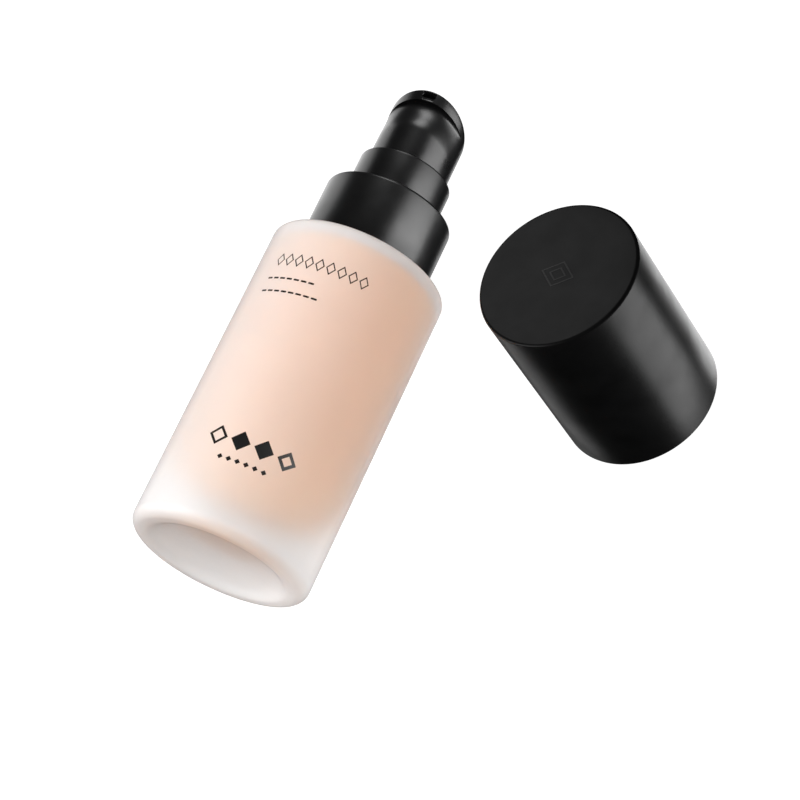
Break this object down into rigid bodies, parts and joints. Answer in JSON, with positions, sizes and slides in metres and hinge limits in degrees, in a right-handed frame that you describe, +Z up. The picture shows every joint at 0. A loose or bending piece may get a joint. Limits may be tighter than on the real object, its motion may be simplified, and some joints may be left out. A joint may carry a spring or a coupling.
{
  "type": "foundation bottle",
  "caption": "Frosted glass cylinder bottle of liquid foundation with a black treatment pump, lying on its side beside its straight pull-off cap.",
  "frame": {"origin": "centre of the bottom of the bounding box, on the surface that the bottle and the cap rest on", "axes": "+Z up from the surface and along the standing cap's axis, +Y along the lying bottle's axis from its base to its pump, +X from the bottle towards the cap"},
  "size_m": [0.0928, 0.1044, 0.0395],
  "materials": {
    "frosted_glass": "frosted satin",
    "foundation": "thick liquid",
    "black_plastic": "satin",
    "inner_plastic": "matte",
    "natural_plastic": "natural polypropylene",
    "seal_plastic": "soft polyethylene",
    "gasket": "foam",
    "steel": "stainless"
  },
  "bodies": {
    "bottle": {"glass_bottle": "frosted_glass", "foundation_fill": "foundation"},
    "pump_unit": {"pump_housing": "natural_plastic", "neck_gasket": "gasket", "dip_tube": "natural_plastic", "guide_ring": "black_plastic"},
    "closure": {"screw_closure": "inner_plastic", "collar_shell": "black_plastic"},
    "plunger": {"piston_seal": "seal_plastic", "return_spring": "steel"},
    "pump_head": {"actuator": "black_plastic", "stem": "natural_plastic"},
    "inlet_valve": {"inlet_ball": "steel"},
    "cap": {"cap_shell": "black_plastic", "cap_liner": "inner_plastic"}
  },
  "joints": [
    {"name": "pump_lift", "type": "slide", "parent": "bottle", "child": "pump_unit", "axis": [0, 1, 0], "range_m": [0, 0.0048]},
    {"name": "closure_turn", "type": "hinge", "parent": "pump_unit", "child": "closure", "pos_m": [-0.02847, 0.02, 0.01796], "axis": [0, 1, 0], "range_deg": [0, 540]},
    {"name": "pump_press", "type": "slide", "parent": "pump_unit", "child": "plunger", "axis": [0, -1, 0], "range_m": [0, 0.005], "stiffness_N_per_m": 1800, "springref_m": -0.002, "deforming": ["return_spring"]},
    {"name": "head_turn", "type": "hinge", "parent": "plunger", "child": "pump_head", "pos_m": [-0.02847, 0.04, 0.01796], "axis": [0, 1, 0], "continuous": true},
    {"name": "ball_lift", "type": "slide", "parent": "pump_unit", "child": "inlet_valve", "axis": [0, 1, 0], "range_m": [0, 0.001]},
    {"name": "cap_lift", "type": "slide", "parent": "bottle", "child": "cap", "axis": [0, 0, 1], "range_m": [0, 0.06]}
  ],
  "couplings": [
    {"joint": "pump_lift", "follows": "closure_turn", "m_per_rad": 0.00050532}
  ]
}
